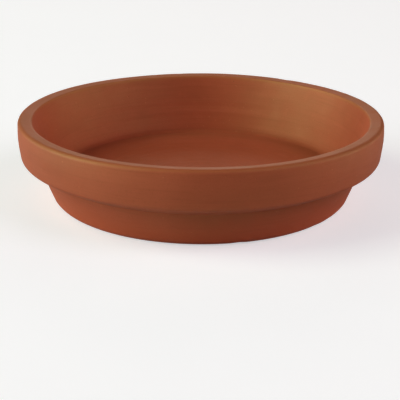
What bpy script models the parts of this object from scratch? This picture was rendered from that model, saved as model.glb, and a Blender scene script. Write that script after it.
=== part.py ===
"""A terracotta saucer for a plant pot: a shallow dish with a raised outer band, fired in one piece.

It is round about Z and stands on z = 0, with its origin at the middle of its underside. Lengths
are in metres. One outline gives its whole shape: from the axis along the underside, up the
outside, over the lip, down the inside and along the floor back to the axis.
"""

from math import ceil, copysign, pi, radians, sin, tan

import bmesh
import bpy
from mathutils import Matrix, Vector

# Driving dimensions, taken to the sharp corners that the edges would have if none were rounded.
HEIGHT = 0.0346
BASE_DIAMETER = 0.1236
CREASE_DIAMETER = 0.1348  # where the flared body meets the sloping underside of the band
CREASE_HEIGHT = 0.0148
BAND_FOOT_DIAMETER = 0.1500  # where the band's underside meets its face
BAND_FOOT_HEIGHT = 0.0188
BAND_DIAMETER = 0.1522  # the widest part of the dish
BAND_WIDEST_HEIGHT = 0.028
LIP_OUTER_DIAMETER = 0.1514
LIP_INNER_DIAMETER = 0.1403
LIP_INNER_DROP = 0.0007  # the lip's top slopes down to the inside
FLOOR_DIAMETER = 0.1222
FLOOR_THICKNESS = 0.0083

# Radii of the rounded corners.
BASE_EDGE_RADIUS = 0.004
CREASE_RADIUS = 0.0015
BAND_FOOT_RADIUS = 0.0023
BAND_FACE_RADIUS = 0.048  # the band's face is slightly barrelled
LIP_OUTER_RADIUS = 0.0017
LIP_INNER_RADIUS = 0.0006
FLOOR_EDGE_RADIUS = 0.002

# Fineness of the mesh.
SEGMENTS = 96
ARC_STEP = radians(18)
FEWEST_ARC_STEPS = 2
MERGE_DISTANCE = 1e-6
SHARP_ABOVE = radians(35)

# Bare fired clay: linear colour, dull all over.
CLAY_COLOUR = (0.36, 0.09, 0.03, 1.0)
CLAY_ROUGHNESS = 0.88


def saucer_corners():
    """The outline's sharp corners from the underside to the floor: (diameter, height, rounding)."""
    return [
        (BASE_DIAMETER, 0.0, BASE_EDGE_RADIUS),
        (CREASE_DIAMETER, CREASE_HEIGHT, CREASE_RADIUS),
        (BAND_FOOT_DIAMETER, BAND_FOOT_HEIGHT, BAND_FOOT_RADIUS),
        (BAND_DIAMETER, BAND_WIDEST_HEIGHT, BAND_FACE_RADIUS),
        (LIP_OUTER_DIAMETER, HEIGHT, LIP_OUTER_RADIUS),
        (LIP_INNER_DIAMETER, HEIGHT - LIP_INNER_DROP, LIP_INNER_RADIUS),
        (FLOOR_DIAMETER, FLOOR_THICKNESS, FLOOR_EDGE_RADIUS),
    ]


def rounded_corner(before, corner, after, rounding):
    """Points on the arc that touches both of the edges that meet at the corner."""
    to_before = (before - corner).normalized()
    to_after = (after - corner).normalized()
    half_opening = to_before.angle(to_after) / 2
    bisector = (to_before + to_after).normalized()
    centre = corner + bisector * rounding / sin(half_opening)
    spoke = corner + to_before * rounding / tan(half_opening) - centre
    turn = copysign(pi - 2 * half_opening, to_after.cross(to_before))
    steps = max(FEWEST_ARC_STEPS, ceil(abs(turn) / ARC_STEP))
    return [centre + Matrix.Rotation(turn * step / steps, 2) @ spoke for step in range(steps + 1)]


def saucer_outline():
    """The outline as points (radius, height), with both of its ends on the axis."""
    corners = saucer_corners()
    underside_middle = Vector((0.0, 0.0))
    floor_middle = Vector((0.0, FLOOR_THICKNESS))
    stops = [underside_middle]
    stops += [Vector((diameter / 2, height)) for diameter, height, _ in corners]
    stops += [floor_middle]
    outline = [underside_middle]
    for index, (_, _, rounding) in enumerate(corners):
        outline += rounded_corner(*stops[index : index + 3], rounding)
    outline += [floor_middle]
    return outline


def turned_mesh(name, outline):
    """A closed mesh: the outline spun once about Z."""
    shape = bmesh.new()
    points = [shape.verts.new((radius, 0.0, height)) for radius, height in outline]
    edges = [shape.edges.new(ends) for ends in zip(points, points[1:])]
    bmesh.ops.spin(
        shape,
        geom=points + edges,
        cent=(0.0, 0.0, 0.0),
        axis=(0.0, 0.0, 1.0),
        angle=2 * pi,
        steps=SEGMENTS,
    )
    bmesh.ops.remove_doubles(shape, verts=shape.verts, dist=MERGE_DISTANCE)
    bmesh.ops.recalc_face_normals(shape, faces=shape.faces)
    mesh = bpy.data.meshes.new(name)
    shape.to_mesh(mesh)
    shape.free()
    mesh.shade_smooth()
    mesh.set_sharp_from_angle(angle=SHARP_ABOVE)
    return mesh


def fired_clay():
    """The material of bare, unglazed terracotta."""
    material = bpy.data.materials.new("fired_clay")
    material.use_nodes = True
    surface = material.node_tree.nodes["Principled BSDF"]
    surface.inputs["Base Color"].default_value = CLAY_COLOUR
    surface.inputs["Roughness"].default_value = CLAY_ROUGHNESS
    surface.inputs["Metallic"].default_value = 0.0
    return material


def clear_scene():
    for leftover in list(bpy.data.objects):
        bpy.data.objects.remove(leftover)


def main():
    clear_scene()
    saucer = bpy.data.objects.new("saucer_body", turned_mesh("saucer_body", saucer_outline()))
    saucer.data.materials.append(fired_clay())
    bpy.context.scene.collection.objects.link(saucer)


main()
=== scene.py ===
"""The looks of the terracotta saucer: a fine clay body, its fired-clay surface, and a studio.

Lengths are in metres. The saucer is round about Z and stands on z = 0.
"""

from math import ceil, copysign, cos, pi, radians, sin, sqrt, tan

import bpy
import numpy as np
from mathutils import Matrix, Vector


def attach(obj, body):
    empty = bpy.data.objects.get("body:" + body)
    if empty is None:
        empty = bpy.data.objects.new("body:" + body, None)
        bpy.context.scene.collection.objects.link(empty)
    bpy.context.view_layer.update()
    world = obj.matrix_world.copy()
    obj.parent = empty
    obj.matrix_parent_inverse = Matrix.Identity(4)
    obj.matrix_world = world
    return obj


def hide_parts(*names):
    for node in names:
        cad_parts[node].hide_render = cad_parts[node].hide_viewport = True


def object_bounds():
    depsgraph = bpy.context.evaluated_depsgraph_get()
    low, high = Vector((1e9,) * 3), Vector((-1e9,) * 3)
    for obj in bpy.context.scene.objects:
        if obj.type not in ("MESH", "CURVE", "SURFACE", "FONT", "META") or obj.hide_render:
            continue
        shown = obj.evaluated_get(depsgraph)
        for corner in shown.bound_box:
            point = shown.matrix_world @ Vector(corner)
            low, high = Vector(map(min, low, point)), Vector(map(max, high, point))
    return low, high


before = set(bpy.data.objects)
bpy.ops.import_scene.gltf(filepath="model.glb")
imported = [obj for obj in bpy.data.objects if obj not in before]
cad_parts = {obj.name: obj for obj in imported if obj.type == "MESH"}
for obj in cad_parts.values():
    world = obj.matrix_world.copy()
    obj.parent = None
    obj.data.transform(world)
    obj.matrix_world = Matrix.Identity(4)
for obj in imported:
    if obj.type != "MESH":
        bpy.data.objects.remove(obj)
cad_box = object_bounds()

MM = 0.001

# ---------------------------------------------------------------------------------------------
# Outline: the CAD outline, followed more finely.

HEIGHT = cad_box[1].z
FLOOR_THICKNESS = 8.3 * MM
LIP_CORNER_HEIGHT = 34.6 * MM  # where the lip's top and the band's face would meet
LIP_INNER_DROP = 0.7 * MM

# (diameter, height, rounding) of each corner, from the underside up the outside to the floor.
CORNERS = [
    (123.6 * MM, 0.0, 4.0 * MM),
    (134.8 * MM, 14.8 * MM, 1.5 * MM),
    (150.0 * MM, 18.8 * MM, 2.3 * MM),
    (152.2 * MM, 28.0 * MM, 48.0 * MM),
    (151.4 * MM, LIP_CORNER_HEIGHT, 1.7 * MM),
    (140.3 * MM, LIP_CORNER_HEIGHT - LIP_INNER_DROP, 0.6 * MM),
    (122.2 * MM, FLOOR_THICKNESS, 2.0 * MM),
]

SEGMENTS = 512  # round the rim; halved on the rings near the axis, where they would crowd
FEWEST_SEGMENTS = 32
SHORTEST_SEGMENT = 0.42 * MM
DISC_STEP = 1.15 * MM  # between rings on the underside and the floor
WALL_STEP = 0.8 * MM
ARC_ANGLE_STEP = radians(9)
ARC_SHORTEST_STEP = 0.24 * MM


def rounded_corner(before, corner, after, rounding):
    """Points on the arc that touches both of the edges that meet at the corner."""
    to_before = (before - corner).normalized()
    to_after = (after - corner).normalized()
    half_opening = to_before.angle(to_after) / 2
    bisector = (to_before + to_after).normalized()
    centre = corner + bisector * rounding / sin(half_opening)
    spoke = corner + to_before * rounding / tan(half_opening) - centre
    turn = copysign(pi - 2 * half_opening, to_after.cross(to_before))
    length = abs(turn) * rounding
    steps = max(abs(turn) / ARC_ANGLE_STEP, length / WALL_STEP)
    steps = ceil(min(steps, length / ARC_SHORTEST_STEP))
    return [centre + Matrix.Rotation(turn * step / steps, 2) @ spoke for step in range(steps + 1)]


def divided(start, end, step):
    """Points between start and end, without either, no further apart than step."""
    count = ceil((end - start).length / step)
    return [start.lerp(end, index / count) for index in range(1, count)]


def fine_outline():
    """The outline as an array of (radius, height), with both of its ends on the axis."""
    stops = [Vector((0.0, 0.0))]
    stops += [Vector((diameter / 2, height)) for diameter, height, _ in CORNERS]
    stops += [Vector((0.0, FLOOR_THICKNESS))]
    points = [stops[0]]
    for index, (_, _, rounding) in enumerate(CORNERS):
        arc = rounded_corner(*stops[index : index + 3], rounding)
        step = DISC_STEP if index == 0 else WALL_STEP
        points += divided(points[-1], arc[0], step) + arc
    points += divided(points[-1], stops[-1], DISC_STEP) + [stops[-1]]
    return np.array([tuple(point) for point in points])


outline = fine_outline()
along = np.concatenate([[0.0], np.cumsum(np.linalg.norm(np.diff(outline, axis=0), axis=1))])
tangents = np.gradient(outline, along, axis=0)
tangents /= np.linalg.norm(tangents, axis=1)[:, None]
normals = np.stack([tangents[:, 1], -tangents[:, 0]], axis=1)


# ---------------------------------------------------------------------------------------------
# Unevenness: what pressing, sponging and firing do to the plain outline.

SEED = 1874
rng = np.random.default_rng(SEED)

# How deep each kind of unevenness goes.
WALL_RIPPLE = 0.030 * MM
FLOOR_RIPPLE = 0.022 * MM
BAND_RIPPLE = 0.016 * MM
LOWER_BODY_RIPPLE = 0.012 * MM
HAND_DEPTH = 0.05 * MM
UNDERSIDE_HOLLOW = 0.25 * MM
OUT_OF_ROUND = 0.11 * MM
LIP_DIP = 0.10 * MM
LIP_RIPPLE = 0.012 * MM
SPARE = 0.06 * MM  # keeps the uneven surface inside the plain outline


def where(low, high, soft):
    """1 along the stretch of outline from low to high, falling to 0 over soft at both ends."""
    rise = np.clip((along - low) / soft + 1, 0, 1)
    fall = np.clip((high - along) / soft + 1, 0, 1)
    mask = np.minimum(rise, fall)
    return mask * mask * (3 - 2 * mask)


def place_of(radius, height):
    """How far along the outline its nearest point to (radius, height) is."""
    return along[np.argmin(np.hypot(outline[:, 0] - radius, outline[:, 1] - height))]


FOOT = place_of(61.0 * MM, 0.5 * MM)
CREASE = place_of(67.6 * MM, 14.7 * MM)
BAND_FOOT = place_of(74.7 * MM, 19.0 * MM)
LIP_OUTSIDE = place_of(75.3 * MM, HEIGHT)
LIP_INSIDE = place_of(70.2 * MM, 33.8 * MM)
FLOOR_EDGE = place_of(60.7 * MM, 8.9 * MM)


def waves(count, shortest, longest):
    """Slow waves along the outline that fade in and out round the dish: f(along, angle)."""
    lengths = np.exp(rng.uniform(np.log(shortest), np.log(longest), count))
    phases = rng.uniform(0, 2 * pi, count)
    turns = rng.integers(1, 4, count)
    fades = rng.uniform(0, 2 * pi, count)

    def height(places, angles):
        total = 0.0
        for length, phase, turn, fade in zip(lengths, phases, turns, fades):
            strength = 0.6 + 0.4 * np.sin(turn * angles + fade)
            total = total + strength * np.sin(2 * pi * places / length + phase)
        return total / sqrt(count)

    return height


def lobes(count, lowest, highest):
    """A sum of waves round the dish, with whole numbers of lobes: f(angle)."""
    numbers = rng.integers(lowest, highest + 1, count)
    phases = rng.uniform(0, 2 * pi, count)

    def height(angles):
        total = 0.0
        for number, phase in zip(numbers, phases):
            total = total + np.sin(number * angles + phase)
        return total / sqrt(count)

    return height


# Drawn in this order from the one source of random numbers.
ring_waves = waves(9, 2.4 * MM, 7.5 * MM)
fine_ring_waves = waves(7, 1.9 * MM, 3.2 * MM)
hand_waves = waves(6, 8 * MM, 26 * MM)
out_of_round = lobes(4, 2, 4)
lip_dip = lobes(6, 2, 7)
lip_ripple = lobes(9, 11, 34)

inner_wall = where(LIP_INSIDE + 2 * MM, FLOOR_EDGE - 2 * MM, 2 * MM)
floor_zone = where(FLOOR_EDGE + 3 * MM, along[-1] - 3 * MM, 3 * MM)
band_face = where(BAND_FOOT + 1 * MM, LIP_OUTSIDE - 2 * MM, 2 * MM)
lower_body = where(FOOT + 2 * MM, CREASE - 1 * MM, 2 * MM)
underside = where(0.0, FOOT - 4 * MM, 3 * MM)
upper_share = np.clip(outline[:, 1] / HEIGHT, 0, 1) ** 2

# Small knocks: (place along the outline, angle, radius, depth).
KNOCK_COUNT = 26
knock_places = rng.choice([LIP_OUTSIDE, LIP_INSIDE, LIP_OUTSIDE, BAND_FOOT, FOOT], KNOCK_COUNT)
knock_places = knock_places + rng.normal(0, 0.8 * MM, KNOCK_COUNT)
knock_angles = rng.uniform(0, 2 * pi, KNOCK_COUNT)
knock_radii = rng.uniform(0.8 * MM, 2.4 * MM, KNOCK_COUNT)
knock_depths = rng.uniform(0.05 * MM, 0.16 * MM, KNOCK_COUNT)


def sunk(index, angles):
    """How far the surface lies under the plain outline at this outline point, at each angle."""
    place = along[index]
    radius = outline[index, 0]
    template = WALL_RIPPLE * inner_wall[index] + FLOOR_RIPPLE * floor_zone[index]
    fine = BAND_RIPPLE * band_face[index] + LOWER_BODY_RIPPLE * lower_body[index]
    rings = template * ring_waves(place, angles) + fine * fine_ring_waves(place, angles)
    hand = HAND_DEPTH * (band_face[index] + lower_body[index]) * hand_waves(place, angles)
    knocks = 0.0
    for at, angle, size, depth in zip(knock_places, knock_angles, knock_radii, knock_depths):
        turned = np.angle(np.exp(1j * (angles - angle))) * radius
        apart = np.hypot(turned, place - at)
        knocks = knocks + depth * np.exp(-((apart / size) ** 2))
    hollow = UNDERSIDE_HOLLOW * underside[index] * (1 - (radius / outline[:, 0].max()) ** 2)
    spare = SPARE * min(1, outline[index, 1] / MM)  # none where the dish rests
    return spare + rings + hand + knocks + hollow


def ring_positions(index, count):
    """Points of one ring, an array of (x, y, z)."""
    angles = np.arange(count) * 2 * pi / count
    radius, height = outline[index]
    depth = sunk(index, angles)
    share = upper_share[index]
    shrink = OUT_OF_ROUND * (1 + out_of_round(angles) / 2)
    dip = LIP_DIP * (1 + lip_dip(angles) / 2) + LIP_RIPPLE * (2 + lip_ripple(angles))
    radii = radius - depth * normals[index, 0] - share * shrink
    heights = height - depth * normals[index, 1] - share * dip
    return np.stack([radii * np.cos(angles), radii * np.sin(angles), heights], axis=1)


# ---------------------------------------------------------------------------------------------
# Mesh.


def segments_at(radius):
    """How many segments a ring has: the rim's number, halved while they are too short."""
    count = SEGMENTS
    while count > FEWEST_SEGMENTS and 2 * pi * radius / count < SHORTEST_SEGMENT:
        count //= 2
    return count


def faces_between(first, second):
    """Faces from one ring to the next, where each ring is (index of its first point, count)."""
    start, count = first
    next_start, next_count = second
    faces = []
    for step in range(max(count, next_count)):
        if count == 1:
            faces.append((start, next_start + (step + 1) % next_count, next_start + step))
        elif next_count == 1:
            faces.append((start + step, start + (step + 1) % count, next_start))
        elif count == next_count:
            after = (step + 1) % count
            faces.append((start + step, start + after, next_start + after, next_start + step))
        elif step % 2:
            continue
        elif count > next_count:
            low, middle, high = (start + (step + n) % count for n in range(3))
            half = step // 2
            far, far_next = next_start + half, next_start + (half + 1) % next_count
            faces += [(low, middle, far), (middle, far_next, far), (middle, high, far_next)]
        else:
            low, middle, high = (next_start + (step + n) % next_count for n in range(3))
            half = step // 2
            near, near_next = start + half, start + (half + 1) % count
            faces += [(near, middle, low), (near, near_next, middle), (near_next, high, middle)]
    return faces


def body_mesh(name):
    """The saucer's mesh, with the material's layers as attributes of its points."""
    rings = []
    positions = []
    owners = []
    for index, (radius, _) in enumerate(outline):
        count = 1 if index in (0, len(outline) - 1) else segments_at(radius)
        rings.append((len(owners), count))
        positions.append(ring_positions(index, count))
        owners += [index] * count
    positions = np.concatenate(positions)
    faces = []
    for first, second in zip(rings, rings[1:]):
        faces += faces_between(first, second)
    mesh = bpy.data.meshes.new(name)
    mesh.from_pydata([tuple(p) for p in positions], [], faces)
    owners = np.array(owners)
    for label, values in LAYERS.items():
        layer = mesh.attributes.new(label, "FLOAT", "POINT")
        layer.data.foreach_set("value", values[owners].astype(np.float32))
    lay_out_uv(mesh, owners)
    mesh.shade_smooth()
    return mesh


# The map has two round islands: the outside up to the lip, and the inside down from it.
LIP_MIDDLE = (LIP_OUTSIDE + LIP_INSIDE) / 2
SHRINK_UNDERSIDE = 0.6
SHRINK_FLOOR = 0.85
MAP_MARGIN = 1.02
ISLAND_MARGIN = 1.01


def lay_out_uv(mesh, owners):
    """Unrolls the outside and the inside of the dish into two discs that share one square."""
    outside_pull = np.where(along < FOOT, SHRINK_UNDERSIDE, 1.0)
    inside_pull = np.where(along > FLOOR_EDGE, SHRINK_FLOOR, 1.0)
    steps = np.gradient(along)
    outside_radius = np.cumsum(steps * outside_pull)
    inside_radius = np.cumsum((steps * inside_pull)[::-1])[::-1]
    split = np.argmin(np.abs(along - LIP_MIDDLE))
    outside_size = outside_radius[split + 1]
    inside_size = inside_radius[split - 1]
    map_size = (outside_size + inside_size) * (1 + 1 / sqrt(2)) * MAP_MARGIN
    corner_points = np.empty(len(mesh.loops), np.int32)
    mesh.loops.foreach_get("vertex_index", corner_points)
    corner_counts = [len(face.vertices) for face in mesh.polygons]
    face_of_corner = np.repeat(np.arange(len(mesh.polygons)), corner_counts)
    places = owners[corner_points]
    lowest = np.full(len(mesh.polygons), len(outline))
    np.minimum.at(lowest, face_of_corner, places)
    is_outside = lowest[face_of_corner] < split
    positions = np.empty(len(mesh.vertices) * 3, np.float32)
    mesh.vertices.foreach_get("co", positions)
    positions = positions.reshape(-1, 3)[corner_points]
    around = np.arctan2(positions[:, 1], positions[:, 0])
    radius = np.where(is_outside, outside_radius[places], inside_radius[places])
    radius = np.where((places == 0) | (places == len(outline) - 1), 0.0, radius)
    flip = np.where(is_outside, -1.0, 1.0)
    near = outside_size / map_size * ISLAND_MARGIN
    far = 1 - inside_size / map_size * ISLAND_MARGIN
    centre = np.where(is_outside, near, far)
    u = centre + flip * radius / map_size * np.cos(around)
    v = centre + radius / map_size * np.sin(around)
    layer = mesh.uv_layers.new(name="OFBake")
    layer.data.foreach_set("uv", np.stack([u, v], axis=1).ravel().astype(np.float32))


# Pale lines where hands and shelves rub the clay pale, and along the lip's inner edge partly a
# painted highlight: (place along the outline, half width, strength).
RUBBED_AND_HIGHLIGHT_LINES = [
    (FOOT, 1.6 * MM, 0.30),
    (BAND_FOOT, 1.8 * MM, 0.10),
    # partly rubbed pale, partly a painted highlight along the lip's inner edge
    (LIP_INSIDE, 0.55 * MM, 0.65),
]
# Painted shade round the crease under the band.
UNDER_BAND_SHADE_WIDTH = 3.0 * MM
UNDER_BAND_SHADE_SHIFT = 0.8 * MM  # from the crease up to where the painted shade under the band is deepest
# Painted shade in the floor's corner, reaching up the wall and over the floor.
SHADE_UP_WALL = 1.6 * MM  # from the floor's corner
SHADE_OVER_FLOOR = 8.5 * MM
FLOOR_LIGHT_EDGE = 11 * MM  # from the floor's corner to where the floor's middle starts to be painted paler: painted light

rubbed_and_highlight_lines = [
    strength * np.exp(-(((along - place) / width) ** 2)) for place, width, strength in RUBBED_AND_HIGHLIGHT_LINES
]
from_corner = along - FLOOR_EDGE
# how far the painted corner shade reaches
shade_reach = np.where(from_corner < 0, SHADE_UP_WALL, SHADE_OVER_FLOOR)

# What the material reads at each point: how far along the outline it is, how much wear it has, and
# where shade and light are painted on.
LAYERS = {
    "along": along,
    # pale rubbed lines, with a painted highlight along the lip's inner edge
    "edge": np.clip(sum(rubbed_and_highlight_lines), 0, 1),
    # painted shade under the band
    "under_band_shade": np.exp(-(((along - CREASE - UNDER_BAND_SHADE_SHIFT) / UNDER_BAND_SHADE_WIDTH) ** 2)),
    # painted shade in the floor's corner
    "corner_shade": np.exp(-((from_corner / shade_reach) ** 2)),
    # painted light on the floor's middle
    "floor_painted_light": where(FLOOR_EDGE + FLOOR_LIGHT_EDGE, 2 * along[-1], FLOOR_LIGHT_EDGE),
    # painted light on the lower wall, towards the foot
    "lower_wall_painted_light": where(FOOT, FOOT + 1 * MM, CREASE - FOOT - 2 * MM),
    "lip": where(LIP_OUTSIDE, LIP_INSIDE, 1.5 * MM),
}


# ---------------------------------------------------------------------------------------------
# Fired clay.


class Nodes:
    """Short ways to add nodes to one material."""

    def __init__(self, name):
        self.material = bpy.data.materials.new(name)
        self.material.use_nodes = True
        self.tree = self.material.node_tree
        self.surface = self.tree.nodes["Principled BSDF"]

    def add(self, kind, *inputs, out=0, **settings):
        """A node with these settings, whose first inputs are these sockets or values."""
        node = self.tree.nodes.new(kind)
        for name, value in settings.items():
            setattr(node, name, value)
        for socket, value in zip([i for i in node.inputs if i.enabled], inputs):
            self.join(value, socket)
        return node.outputs[out]

    def join(self, value, socket):
        """Links a socket to this one, or sets it to a value."""
        if isinstance(value, bpy.types.NodeSocket):
            self.tree.links.new(value, socket)
        elif value is not None:
            socket.default_value = value

    def math(self, operation, *values):
        return self.add("ShaderNodeMath", *values, operation=operation)

    def noise(self, place, scale, detail=2.0, roughness=0.5, distortion=0.0):
        """Noise from 0 to 1, with its bumps 1 / scale metres apart."""
        node = self.tree.nodes.new("ShaderNodeTexNoise")
        self.join(place, node.inputs["Vector"])
        node.inputs["Scale"].default_value = scale
        node.inputs["Detail"].default_value = detail
        node.inputs["Roughness"].default_value = roughness
        node.inputs["Distortion"].default_value = distortion
        return node.outputs["Fac"]

    def ramp(self, value, low, high, start=0.0, end=1.0):
        """value's range low to high, mapped smoothly to start to end and held outside it."""
        node = self.tree.nodes.new("ShaderNodeMapRange")
        node.interpolation_type = "SMOOTHSTEP"
        for socket, number in zip(node.inputs, (value, low, high, start, end)):
            self.join(number, socket)
        return node.outputs[0]

    def tint(self, colour, other, share):
        """colour with a share of another colour mixed in."""
        node = self.tree.nodes.new("ShaderNodeMix")
        node.data_type = "RGBA"
        self.join(share, node.inputs["Factor"])
        self.join(colour, node.inputs[6])
        self.join(other, node.inputs[7])
        return node.outputs[2]

    def attribute(self, name):
        return self.add("ShaderNodeAttribute", attribute_name=name, out=2)

    def spots(self, place, spacing, size, share):
        """Round spots, 1 inside a spot: spacing and size in metres, and how many cells have one."""
        cells = self.tree.nodes.new("ShaderNodeTexVoronoi")
        self.join(place, cells.inputs["Vector"])
        cells.inputs["Scale"].default_value = 1 / spacing
        reach = size / spacing
        near = self.ramp(cells.outputs["Distance"], reach * 0.6, reach, 1.0, 0.0)
        split = self.add("ShaderNodeSeparateColor", cells.outputs["Color"])
        chosen = self.math("LESS_THAN", split, share)
        return self.math("MULTIPLY", near, chosen)


# Colours, linear.
CLAY = (0.420, 0.0618, 0.0287, 1)
CLAY_DARK = (0.320, 0.0423, 0.0184, 1)
CLAY_LIGHT = (0.512, 0.0925, 0.0448, 1)
CLAY_PALE = (0.640, 0.2000, 0.0720, 1)  # rubbed pale, and painted light and highlight
# painted shade: under the band and in the floor's corner
CLAY_SHADE = (0.210, 0.0300, 0.0110, 1)
CLAY_BOUNCE_LIGHT = (0.560, 0.0760, 0.0290, 1)  # painted light: the lower wall painted paler towards the foot, where the floor lights it
CLAY_BUFF = (0.330, 0.0880, 0.0220, 1)  # the sponged top of the lip
CLAY_IRON = (0.120, 0.0300, 0.0150, 1)
CLAY_GROG = (0.660, 0.2000, 0.0800, 1)
CLAY_SKIN = (1.0, 0.99, 0.36, 1)  # tint of the gloss: a dry, yellowish skin

CLAY_GLOSS = 1.0
ROUGHNESS_LOW = 0.60
ROUGHNESS_HIGH = 0.66
CORNER_ROUGHNESS = 0.25  # added in the floor's corner
EDGE_POLISH = 0.06  # taken off by rubbing


def fired_clay():
    """Bare terracotta: mottled, with turning streaks, specks, pits, layers of wear, and painted
    shade and light.
    """
    clay = Nodes("fired_clay")
    place = clay.add("ShaderNodeTexCoord", out=3)
    split = clay.tree.nodes.new("ShaderNodeSeparateXYZ")
    clay.join(place, split.inputs[0])
    level = clay.add("ShaderNodeCombineXYZ", split.outputs[0], split.outputs[1], 0.0)
    around = clay.add("ShaderNodeVectorMath", level, operation="NORMALIZE")
    turn = clay.tree.nodes.new("ShaderNodeSeparateXYZ")
    clay.join(around, turn.inputs[0])
    outline_place = clay.attribute("along")
    edge = clay.attribute("edge")
    # painted shade in the floor's corner, which also roughens it there
    corner_shade = clay.attribute("corner_shade")

    def streaks(stretch, per_metre, detail):
        """Noise drawn out round the dish, as a turning tool draws it."""
        x = clay.math("MULTIPLY", turn.outputs[0], stretch)
        y = clay.math("MULTIPLY", turn.outputs[1], stretch)
        z = clay.math("MULTIPLY", outline_place, per_metre)
        return clay.noise(clay.add("ShaderNodeCombineXYZ", x, y, z), 1.0, detail, 0.6)

    fine_streaks = streaks(2.6, 1300, 2.0)
    broad_streaks = streaks(1.4, 230, 2.0)
    mottle = clay.noise(place, 26, 4.0, 0.55, 0.4)
    blotches = clay.noise(place, 120, 3.0, 0.55, 0.3)
    grain = clay.noise(place, 1500, 2.0, 0.6)
    sand = clay.noise(place, 620, 2.0, 0.6)

    # Each pattern's range, low to high, brings in a colour up to the share given.
    colour = CLAY
    for pattern, low, high, other, share in (
        (mottle, 0.5, 0.72, CLAY_DARK, 0.40),
        (mottle, 0.5, 0.28, CLAY_LIGHT, 0.35),
        (blotches, 0.52, 0.75, CLAY_LIGHT, 0.25),
        (fine_streaks, 0.52, 0.72, CLAY_DARK, 0.30),
        (broad_streaks, 0.52, 0.72, CLAY_LIGHT, 0.30),
        (grain, 0.5, 0.75, CLAY_DARK, 0.35),
    ):
        colour = clay.tint(colour, other, clay.ramp(pattern, low, high, 0.0, share))

    # Specks, layers of wear, painted shade and painted light: where they lie, what breaks them up,
    # their colour and their share.
    grog = clay.spots(place, 3.4 * MM, 0.36 * MM, 0.35)
    iron = clay.spots(place, 5.2 * MM, 0.34 * MM, 0.3)
    patchy = clay.ramp(blotches, 0.35, 0.62, 0.5, 1.0)
    sandy = clay.ramp(sand, 0.3, 0.7, 0.6, 1.0)
    cloudy = clay.ramp(mottle, 0.35, 0.65, 0.75, 1.0)
    for layer, texture, other, share in (
        (grog, 1.0, CLAY_GROG, 0.30),
        (iron, 1.0, CLAY_IRON, 0.45),
        # pale rubbed lines, with a painted highlight along the lip's inner edge
        (edge, patchy, CLAY_PALE, 0.45),
        # painted shade under the band
        (clay.attribute("under_band_shade"), sandy, CLAY_SHADE, 0.33),
        # painted shade in the floor's corner
        (corner_shade, cloudy, CLAY_SHADE, 0.45),
        # painted light on the floor's middle
        (clay.attribute("floor_painted_light"), cloudy, CLAY_PALE, 0.08),
        # painted light on the lower wall, towards the foot
        (clay.attribute("lower_wall_painted_light"), cloudy, CLAY_BOUNCE_LIGHT, 0.75),
        (clay.attribute("lip"), cloudy, CLAY_BUFF, 0.50),
    ):
        laid = clay.math("MULTIPLY", layer, texture)
        colour = clay.tint(colour, other, clay.math("MULTIPLY", laid, share))
    clay.join(colour, clay.surface.inputs["Base Color"])

    roughness = clay.ramp(blotches, 0.3, 0.7, ROUGHNESS_LOW, ROUGHNESS_HIGH)
    # rougher in the floor's corner, where the shade is painted
    roughness = clay.math("ADD", roughness, clay.math("MULTIPLY", corner_shade, CORNER_ROUGHNESS))
    polished = clay.math("MULTIPLY", edge, EDGE_POLISH)
    clay.join(clay.math("SUBTRACT", roughness, polished), clay.surface.inputs["Roughness"])
    clay.surface.inputs["Metallic"].default_value = 0.0
    clay.surface.inputs["Specular IOR Level"].default_value = CLAY_GLOSS
    clay.surface.inputs["Specular Tint"].default_value = CLAY_SKIN

    pits = clay.spots(place, 2.7 * MM, 0.28 * MM, 0.45)
    relief = 0.0
    heights_mm = [(grain, 0.018), (sand, 0.022), (fine_streaks, 0.028), (pits, -0.09)]
    for pattern, height in heights_mm:
        relief = clay.math("ADD", relief, clay.math("MULTIPLY", pattern, height))
    bump = clay.tree.nodes.new("ShaderNodeBump")
    bump.inputs["Strength"].default_value = 1.0
    bump.inputs["Distance"].default_value = MM
    clay.join(relief, bump.inputs["Height"])
    clay.join(bump.outputs[0], clay.surface.inputs["Normal"])
    return clay.material


body = bpy.data.objects.new("fired_clay_body", body_mesh("fired_clay_body"))
bpy.context.scene.collection.objects.link(body)
body.data.materials.append(fired_clay())
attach(body, "root")
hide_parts("saucer_body")


# ---------------------------------------------------------------------------------------------
# Studio: a pale floor, six softboxes and an evenly pale room.

FLOOR_SIZE = 3.2
PAPER = (0.630, 0.630, 0.640, 1)
PAPER_DARK = (0.605, 0.605, 0.615, 1)
PAPER_GLOW = 0.52  # seen by the camera only; it lights nothing
ROOM_BRIGHTNESS = 0.9  # seen by the camera only
ROOM_LIGHT = 0.02
WHITE = (1.0, 1.0, 1.0, 1)


def studio_floor():
    """A level sheet of pale paper that looks a little brighter than the light on it makes it."""
    half = FLOOR_SIZE / 2
    corners = [(-half, -half, 0), (half, -half, 0), (half, half, 0), (-half, half, 0)]
    mesh = bpy.data.meshes.new("floor")
    mesh.from_pydata(corners, [], [(0, 1, 2, 3)])
    floor = bpy.data.objects.new("floor", mesh)
    bpy.context.scene.collection.objects.link(floor)
    paper = Nodes("floor_paper")
    place = paper.add("ShaderNodeTexCoord", out=3)
    tone = paper.tint(PAPER, PAPER_DARK, paper.noise(place, 40, 3.0))
    paper.join(tone, paper.surface.inputs["Base Color"])
    paper.surface.inputs["Roughness"].default_value = 0.9
    rays = paper.tree.nodes.new("ShaderNodeLightPath")
    glow = paper.math("MULTIPLY", rays.outputs["Is Camera Ray"], PAPER_GLOW)
    paper.surface.inputs["Emission Color"].default_value = WHITE
    paper.join(glow, paper.surface.inputs["Emission Strength"])
    mesh.materials.append(paper.material)


LIGHT_DISTANCE = 2.2
LIGHT_SIZE = 1.3

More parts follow.
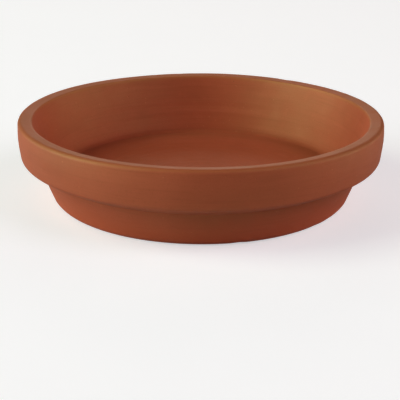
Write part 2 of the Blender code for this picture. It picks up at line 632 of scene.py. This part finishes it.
# (name, azimuth, elevation, watts, colour). Azimuth 0 is on the camera's side, 90 on its right.
SOFTBOXES = [
    ("key_left", -75, 10, 24.7, (0.907, 0.870, 1.0)),
    ("key_left_high", -80, 40, 21.6, (0.857, 1.0, 0.778)),
    ("key_left_back", -100, 5, 13.9, (0.835, 1.0, 1.0)),
    ("fill_right_back", 100, 5, 18.7, (1.0, 0.963, 0.802)),
    ("fill_right_front", 61, 40, 16.0, (1.0, 0.800, 0.975)),
    ("back", 180, 18, 8.4, (1.0, 0.845, 0.798)),
]


def softbox(name, azimuth, elevation, watts, colour):
    """A square area light that faces the saucer, with its azimuth and elevation in degrees."""
    data = bpy.data.lights.new(name, "AREA")
    data.shape = "SQUARE"
    data.size = LIGHT_SIZE
    data.energy = watts
    data.color = colour
    light = bpy.data.objects.new(name, data)
    level = Vector((sin(radians(azimuth)), -cos(radians(azimuth)), 0)) * cos(radians(elevation))
    towards = level + Vector((0, 0, sin(radians(elevation))))
    light.location = Vector((0, 0, HEIGHT / 2)) + towards * LIGHT_DISTANCE
    light.rotation_euler = towards.to_track_quat("Z", "Y").to_euler()
    light.visible_camera = False
    bpy.context.scene.collection.objects.link(light)


def pale_room():
    """A room that looks evenly pale and adds only a little light."""
    world = bpy.data.worlds.new("room")
    world.use_nodes = True
    background = world.node_tree.nodes["Background"]
    background.inputs["Color"].default_value = WHITE
    rays = world.node_tree.nodes.new("ShaderNodeLightPath")
    strength = world.node_tree.nodes.new("ShaderNodeMapRange")
    strength.inputs["To Min"].default_value = ROOM_LIGHT
    strength.inputs["To Max"].default_value = ROOM_BRIGHTNESS
    world.node_tree.links.new(rays.outputs["Is Camera Ray"], strength.inputs["Value"])
    world.node_tree.links.new(strength.outputs["Result"], background.inputs["Strength"])
    bpy.context.scene.world = world


studio_floor()
for settings in SOFTBOXES:
    softbox(*settings)
pale_room()
bpy.context.scene.view_settings.view_transform = "Standard"


# ---------------------------------------------------------------------------------------------
# Camera.

CAMERA_DISTANCE = 0.4156  # from the middle of the dish
CAMERA_ELEVATION = radians(17.48)  # of its place, seen from the middle of the dish
CAMERA_PITCH = radians(20.28)  # how far it looks down
CAMERA_YAW = radians(0.026)
CAMERA_ROLL = radians(0.31)
CAMERA_LENS = 88.05

camera_data = bpy.data.cameras.new("camera")
camera_data.lens = CAMERA_LENS
camera_data.sensor_width = 36.0
camera_data.clip_start = 0.01
camera = bpy.data.objects.new("camera", camera_data)
back = Vector((0, -cos(CAMERA_ELEVATION), sin(CAMERA_ELEVATION)))
camera.location = Vector((0, 0, HEIGHT / 2)) + back * CAMERA_DISTANCE
heading = Matrix.Rotation(CAMERA_YAW, 4, "Z") @ Matrix.Rotation(radians(90) - CAMERA_PITCH, 4, "X")
camera.rotation_euler = (heading @ Matrix.Rotation(CAMERA_ROLL, 4, "Z")).to_euler()
bpy.context.scene.collection.objects.link(camera)
bpy.context.scene.camera = camera
